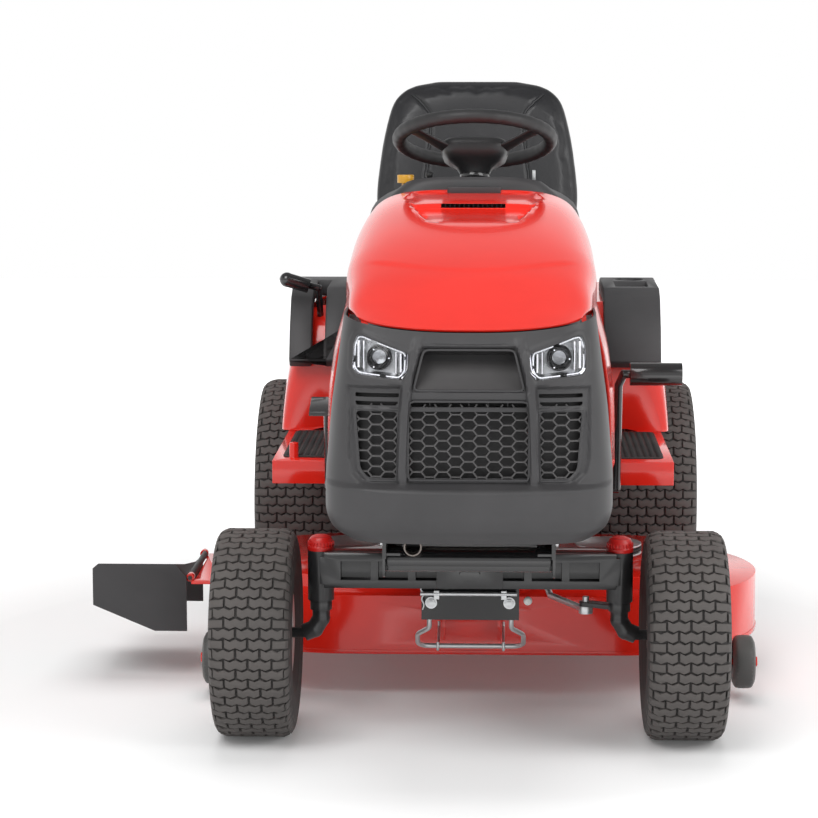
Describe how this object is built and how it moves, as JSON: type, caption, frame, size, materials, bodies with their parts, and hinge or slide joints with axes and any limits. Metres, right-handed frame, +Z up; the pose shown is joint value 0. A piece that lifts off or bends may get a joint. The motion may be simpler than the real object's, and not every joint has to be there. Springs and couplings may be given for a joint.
{
  "type": "riding lawn mower",
  "caption": "Lawn tractor with a tilting hood, steered front axle, sliding seat, lifting twin-blade deck and a side discharge chute.",
  "frame": {"origin": "middle of the footprint of the whole machine, at the ground under the tires", "axes": "+Y towards the rear, +X towards the machine's left side, +Z up"},
  "size_m": [1.332, 1.8, 1.18],
  "materials": {
    "red_paint": "gloss",
    "black_paint": "gloss",
    "charcoal_plastic": "matte, fine grain",
    "black_plastic": "satin",
    "aluminium": "cast",
    "exhaust": "dull",
    "zinc": "zinc plated",
    "chrome": "bright",
    "belt_rubber": "matte",
    "tire_rubber": "matte",
    "rim_paint": "satin",
    "lamp_glass": "clear",
    "seat_vinyl": "satin vinyl",
    "roller_plastic": "matte",
    "knob_yellow": "gloss",
    "tank_plastic": "natural"
  },
  "bodies": {
    "chassis": {"left_frame_rail": "black_paint", "right_frame_rail": "black_paint", "front_crossmember": "black_paint", "rear_hitch_plate": "black_paint", "engine_block": "aluminium", "engine_cylinders": "aluminium", "blower_housing": "black_plastic", "air_cleaner": "black_plastic", "muffler": "exhaust", "battery": "black_plastic", "fuel_tank": "tank_plastic", "transaxle": "aluminium", "fender_body": "red_paint", "left_footboard": "red_paint", "right_footboard": "red_paint", "dash_tower": "charcoal_plastic", "steering_column": "black_paint", "left_console": "charcoal_plastic", "right_console": "charcoal_plastic", "belts": "belt_rubber", "frame_bolts": "zinc"},
    "front_axle": {"front_axle": "black_paint"},
    "left_spindle": {"left_spindle": "black_paint"},
    "right_spindle": {"right_spindle": "black_paint"},
    "tie_rod": {"tie_rod": "zinc"},
    "drag_link": {"drag_link": "zinc"},
    "steering_sector": {"steering_sector": "zinc"},
    "steering_wheel": {"steering_wheel": "black_plastic"},
    "left_front_wheel": {"left_front_tire": "tire_rubber", "left_front_rim": "rim_paint"},
    "right_front_wheel": {"right_front_tire": "tire_rubber", "right_front_rim": "rim_paint"},
    "left_rear_wheel": {"left_rear_tire": "tire_rubber", "left_rear_rim": "rim_paint"},
    "right_rear_wheel": {"right_rear_tire": "tire_rubber", "right_rear_rim": "rim_paint"},
    "hood": {"hood": "red_paint", "front_fascia": "charcoal_plastic", "grille_mesh": "black_plastic", "headlights": "lamp_glass"},
    "seat_base": {"seat_hinge_plate": "black_paint"},
    "seat": {"seat_shell": "black_plastic", "seat_cushion": "seat_vinyl", "seat_backrest": "seat_vinyl"},
    "brake_pedal": {"brake_pedal": "black_paint"},
    "drive_pedal": {"drive_pedal": "black_paint"},
    "deck": {"deck_shell": "red_paint"},
    "discharge_chute": {"discharge_chute": "charcoal_plastic"},
    "left_blade": {"left_blade": "zinc"},
    "right_blade": {"right_blade": "zinc"},
    "left_gauge_wheel": {"left_gauge_wheel": "roller_plastic"},
    "right_gauge_wheel": {"right_gauge_wheel": "roller_plastic"},
    "lift_lever": {"lift_lever": "black_paint"},
    "front_bail": {"front_bail": "chrome"},
    "throttle_lever": {"throttle_lever": "black_plastic"},
    "pto_knob": {"pto_knob": "knob_yellow"},
    "ignition_key": {"ignition_key": "zinc"},
    "crankshaft": {"crankshaft": "zinc"},
    "transaxle_pulley": {"transaxle_pulley": "zinc"},
    "fuel_cap": {"fuel_cap": "black_plastic"}
  },
  "joints": [
    {"name": "axle_rock", "type": "hinge", "parent": "chassis", "child": "front_axle", "pos_m": [0.089, -0.57, 0.313], "axis": [0, 1, 0], "range_deg": [-6, 6]},
    {"name": "steer_left", "type": "hinge", "parent": "front_axle", "child": "left_spindle", "pos_m": [0.361, -0.57, 0.3], "axis": [0, 0, 1], "range_deg": [-35, 35]},
    {"name": "steer_right", "type": "hinge", "parent": "front_axle", "child": "right_spindle", "pos_m": [-0.183, -0.57, 0.3], "axis": [0, 0, 1], "range_deg": [-35, 35]},
    {"name": "tie_rod_swing", "type": "hinge", "parent": "left_spindle", "child": "tie_rod", "pos_m": [0.361, -0.45, 0.25], "axis": [0, 0, 1], "range_deg": [-35, 35]},
    {"name": "drag_link_swing", "type": "hinge", "parent": "left_spindle", "child": "drag_link", "pos_m": [0.301, -0.54, 0.236], "axis": [0, 0, 1], "range_deg": [-35, 35]},
    {"name": "sector_turn", "type": "hinge", "parent": "chassis", "child": "steering_sector", "pos_m": [0.173, -0.149, 0.4], "axis": [0, 0, 1], "range_deg": [-35, 35]},
    {"name": "steering_wheel_turn", "type": "hinge", "parent": "chassis", "child": "steering_wheel", "pos_m": [0.089, 0.086, 1.067], "axis": [0, 0.3338, 0.9426], "range_deg": [-210, 210]},
    {"name": "left_front_wheel_spin", "type": "hinge", "parent": "left_spindle", "child": "left_front_wheel", "pos_m": [0.479, -0.57, 0.1905], "axis": [1, 0, 0], "continuous": true},
    {"name": "right_front_wheel_spin", "type": "hinge", "parent": "right_spindle", "child": "right_front_wheel", "pos_m": [-0.301, -0.57, 0.1905], "axis": [1, 0, 0], "continuous": true},
    {"name": "left_rear_wheel_spin", "type": "hinge", "parent": "chassis", "child": "left_rear_wheel", "pos_m": [0.461, 0.61, 0.254], "axis": [1, 0, 0], "continuous": true},
    {"name": "right_rear_wheel_spin", "type": "hinge", "parent": "chassis", "child": "right_rear_wheel", "pos_m": [-0.283, 0.61, 0.254], "axis": [1, 0, 0], "continuous": true},
    {"name": "hood_tilt", "type": "hinge", "parent": "chassis", "child": "hood", "pos_m": [0.089, -0.82, 0.43], "axis": [1, 0, 0], "range_deg": [0, 65]},
    {"name": "seat_tilt", "type": "hinge", "parent": "chassis", "child": "seat_base", "pos_m": [0.089, 0.31, 0.706], "axis": [1, 0, 0], "range_deg": [0, 60]},
    {"name": "seat_slide", "type": "slide", "parent": "seat_base", "child": "seat", "axis": [0, 1, 0], "range_m": [-0.04, 0.06]},
    {"name": "brake_pedal_press", "type": "hinge", "parent": "chassis", "child": "brake_pedal", "pos_m": [0.371, -0.185, 0.395], "axis": [1, 0, 0], "range_deg": [0, 22], "stiffness_Nm_per_rad": 15, "springref_deg": -11.46},
    {"name": "drive_pedal_rock", "type": "hinge", "parent": "chassis", "child": "drive_pedal", "pos_m": [-0.193, -0.185, 0.395], "axis": [1, 0, 0], "range_deg": [-14, 14], "stiffness_Nm_per_rad": 15},
    {"name": "deck_lift", "type": "slide", "parent": "chassis", "child": "deck", "axis": [0, 0, 1], "range_m": [-0.015, 0.06], "deforming": ["belts"]},
    {"name": "chute_hinge", "type": "hinge", "parent": "deck", "child": "discharge_chute", "pos_m": [-0.473, -0.02, 0.206], "axis": [0, 1, 0], "range_deg": [0, 80]},
    {"name": "left_blade_spin", "type": "hinge", "parent": "deck", "child": "left_blade", "pos_m": [0.364, 0.015, 0.24], "axis": [0, 0, 1], "continuous": true},
    {"name": "right_blade_spin", "type": "hinge", "parent": "deck", "child": "right_blade", "pos_m": [-0.16, 0.015, 0.24], "axis": [0, 0, 1], "continuous": true},
    {"name": "left_gauge_wheel_spin", "type": "hinge", "parent": "deck", "child": "left_gauge_wheel", "pos_m": [0.616, -0.27, 0.0715], "axis": [1, 0, 0], "continuous": true},
    {"name": "right_gauge_wheel_spin", "type": "hinge", "parent": "deck", "child": "right_gauge_wheel", "pos_m": [-0.412, -0.27, 0.0715], "axis": [1, 0, 0], "continuous": true},
    {"name": "lift_lever_swing", "type": "hinge", "parent": "chassis", "child": "lift_lever", "pos_m": [-0.241, 0.39, 0.56], "axis": [-1, 0, 0], "range_deg": [-10.4, 41.3]},
    {"name": "front_bail_swing", "type": "hinge", "parent": "chassis", "child": "front_bail", "pos_m": [0.089, -0.504, 0.234], "axis": [1, 0, 0], "range_deg": [-4.5, 17.5]},
    {"name": "throttle_swing", "type": "hinge", "parent": "chassis", "child": "throttle_lever", "pos_m": [-0.003, 0.082, 0.95], "axis": [1, 0, 0], "range_deg": [-20, 20]},
    {"name": "pto_knob_pull", "type": "slide", "parent": "chassis", "child": "pto_knob", "axis": [0, 0, 1], "range_m": [0, 0.012]},
    {"name": "ignition_key_turn", "type": "hinge", "parent": "chassis", "child": "ignition_key", "pos_m": [0.209, 0.07, 0.98], "axis": [0, 0, 1], "range_deg": [0, 75]},
    {"name": "crankshaft_spin", "type": "hinge", "parent": "chassis", "child": "crankshaft", "pos_m": [0.089, -0.37, 0.4], "axis": [0, 0, 1], "continuous": true},
    {"name": "transaxle_pulley_spin", "type": "hinge", "parent": "chassis", "child": "transaxle_pulley", "pos_m": [0.089, 0.55, 0.38], "axis": [0, 0, 1], "continuous": true},
    {"name": "fuel_cap_turn", "type": "hinge", "parent": "chassis", "child": "fuel_cap", "pos_m": [0.279, 0.82, 0.7], "axis": [0, 0, 1], "range_deg": [0, 90]}
  ],
  "couplings": [
    {"joint": "steer_right", "follows": "steer_left", "ratio": 1},
    {"joint": "tie_rod_swing", "follows": "steer_left", "ratio": -1},
    {"joint": "drag_link_swing", "follows": "steer_left", "ratio": -1},
    {"joint": "sector_turn", "follows": "steer_left", "ratio": 1},
    {"joint": "steering_wheel_turn", "follows": "steer_left", "ratio": -6},
    {"joint": "lift_lever_swing", "follows": "deck_lift", "rad_per_m": 12},
    {"joint": "front_bail_swing", "follows": "deck_lift", "rad_per_m": 5},
    {"joint": "right_blade_spin", "follows": "left_blade_spin", "ratio": 1},
    {"joint": "transaxle_pulley_spin", "follows": "crankshaft_spin", "ratio": 0.80645}
  ]
}
